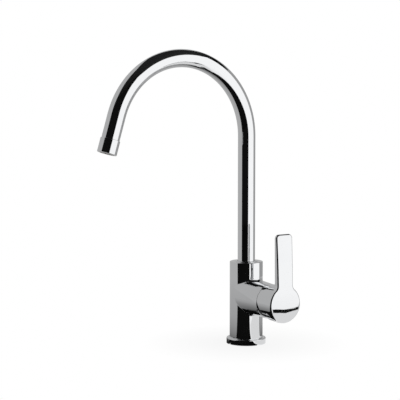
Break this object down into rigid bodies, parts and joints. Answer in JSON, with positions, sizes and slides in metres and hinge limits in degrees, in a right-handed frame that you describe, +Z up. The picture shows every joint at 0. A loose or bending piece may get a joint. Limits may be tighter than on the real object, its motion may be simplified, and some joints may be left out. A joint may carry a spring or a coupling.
{
  "type": "kitchen mixer tap",
  "caption": "Chrome single-lever kitchen mixer tap: round barrel with a side arm and upright blade lever, tall swivelling gooseneck spout with an aerated outlet.",
  "frame": {"origin": "centre of the base on the worktop", "axes": "+Z up along the barrel; the spout reaches along -Y; the lever arm points along +X"},
  "size_m": [0.108, 0.2394, 0.3718],
  "materials": {
    "polished_chrome": "mirror-polished chrome plate",
    "brass": "machined",
    "stainless_steel": "machined",
    "ceramic": "lapped",
    "cartridge_plastic": "moulded, slightly matte",
    "grey_plastic": "moulded, satin",
    "black_plastic": "moulded, satin",
    "seal_rubber": "matte"
  },
  "bodies": {
    "tap_body": {"body_casting": "polished_chrome", "base_ring": "polished_chrome", "base_gasket": "seal_rubber", "spout_thrust_washer": "cartridge_plastic", "spout_guide_bush": "cartridge_plastic", "spout_collar": "polished_chrome", "spout_lock_screw": "stainless_steel", "cartridge_base": "cartridge_plastic", "port_seals": "seal_rubber", "fixed_ceramic_disc": "ceramic", "cartridge_housing": "cartridge_plastic", "cartridge_nut": "brass", "cartridge_dome": "black_plastic"},
    "spout": {"spout_tube": "polished_chrome", "spout_spigot": "brass", "spout_o_rings": "seal_rubber", "aerator_housing": "polished_chrome", "aerator_washer": "seal_rubber", "aerator_insert": "cartridge_plastic", "aerator_screen": "stainless_steel"},
    "spindle_rotor": {"spindle_guide": "cartridge_plastic", "pivot_pin": "stainless_steel"},
    "lever": {"lever_handle": "polished_chrome", "lever_grub_screw": "stainless_steel", "screw_plug": "grey_plastic", "spindle": "brass"},
    "valve_disc": {"moving_ceramic_disc": "ceramic", "disc_carrier": "cartridge_plastic"}
  },
  "joints": [
    {"name": "spout_swivel", "type": "hinge", "parent": "tap_body", "child": "spout", "pos_m": [0, 0, 0.105], "axis": [0, 0, 1], "continuous": true},
    {"name": "lever_turn", "type": "hinge", "parent": "tap_body", "child": "spindle_rotor", "pos_m": [0.0516, 0, 0.06], "axis": [1, 0, 0], "range_deg": [-45, 45]},
    {"name": "lever_tilt", "type": "hinge", "parent": "spindle_rotor", "child": "lever", "pos_m": [0.0516, 0, 0.06], "axis": [0, 1, 0], "range_deg": [0, 25]},
    {"name": "disc_slide", "type": "slide", "parent": "spindle_rotor", "child": "valve_disc", "axis": [0, 0, 1], "range_m": [0, 0.0045]}
  ],
  "couplings": [
    {"joint": "disc_slide", "follows": "lever_tilt", "m_per_rad": 0.01026}
  ]
}
